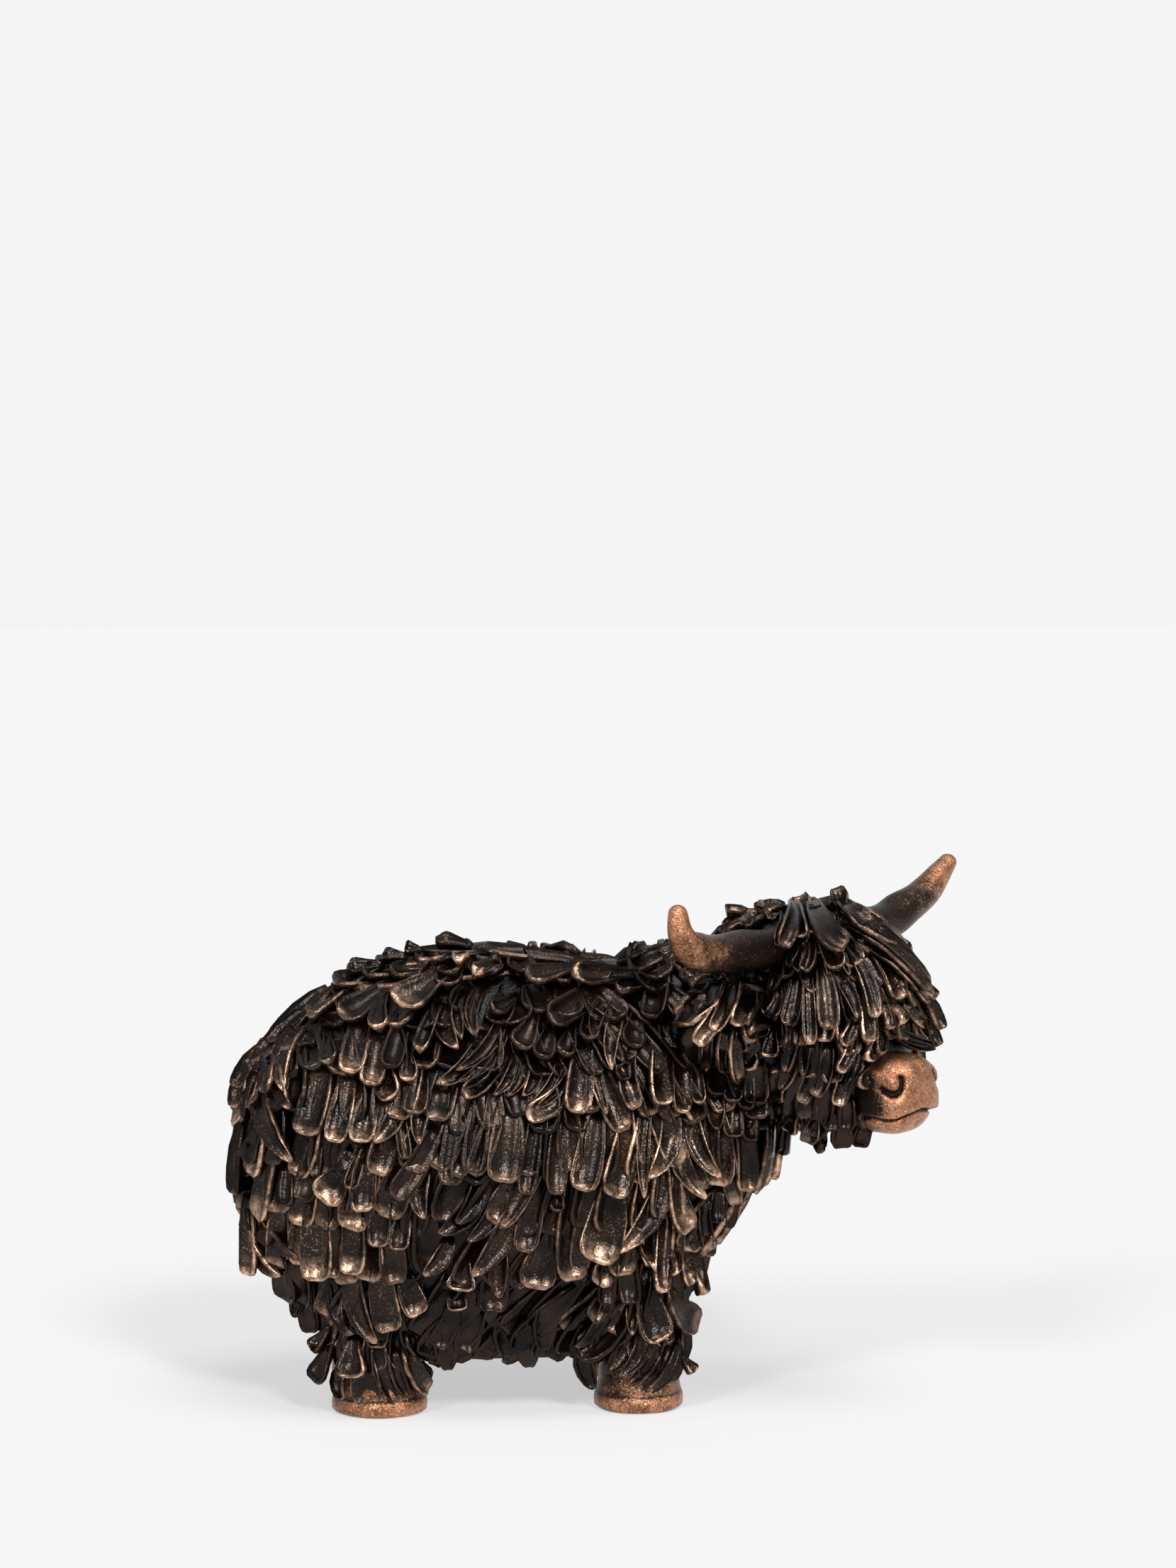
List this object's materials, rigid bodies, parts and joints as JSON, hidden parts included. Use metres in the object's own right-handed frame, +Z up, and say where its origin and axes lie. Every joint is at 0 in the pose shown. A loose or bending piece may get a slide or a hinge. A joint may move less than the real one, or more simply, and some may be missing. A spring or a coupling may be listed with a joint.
{
  "type": "highland cow ornament",
  "caption": "Free-standing shaggy highland cow ornament in cold-cast bronze, on short legs with its horned head turned to one side.",
  "frame": {"origin": "on the floor, under the middle of the whole ornament's box, nose, horns and rump included", "axes": "+X the way the trunk faces, +Y the cow's left, +Z up"},
  "size_m": [0.2182, 0.1008, 0.148],
  "materials": {
    "bronze_coat": "dark satin bronze with copper-rubbed tips",
    "copper_horn": "rubbed copper, pitted, satin",
    "steel_pin": "satin",
    "rubber_plug": "matte",
    "felt": "matte felt"
  },
  "bodies": {
    "root": {"torso_casting": "bronze_coat", "head_casting": "bronze_coat", "left_horn": "copper_horn", "right_horn": "copper_horn", "neck_dowel": "steel_pin", "left_horn_pin": "steel_pin", "right_horn_pin": "steel_pin", "belly_plug": "rubber_plug", "front_right_pad": "felt", "front_left_pad": "felt", "rear_right_pad": "felt", "rear_left_pad": "felt"}
  },
  "joints": []
}
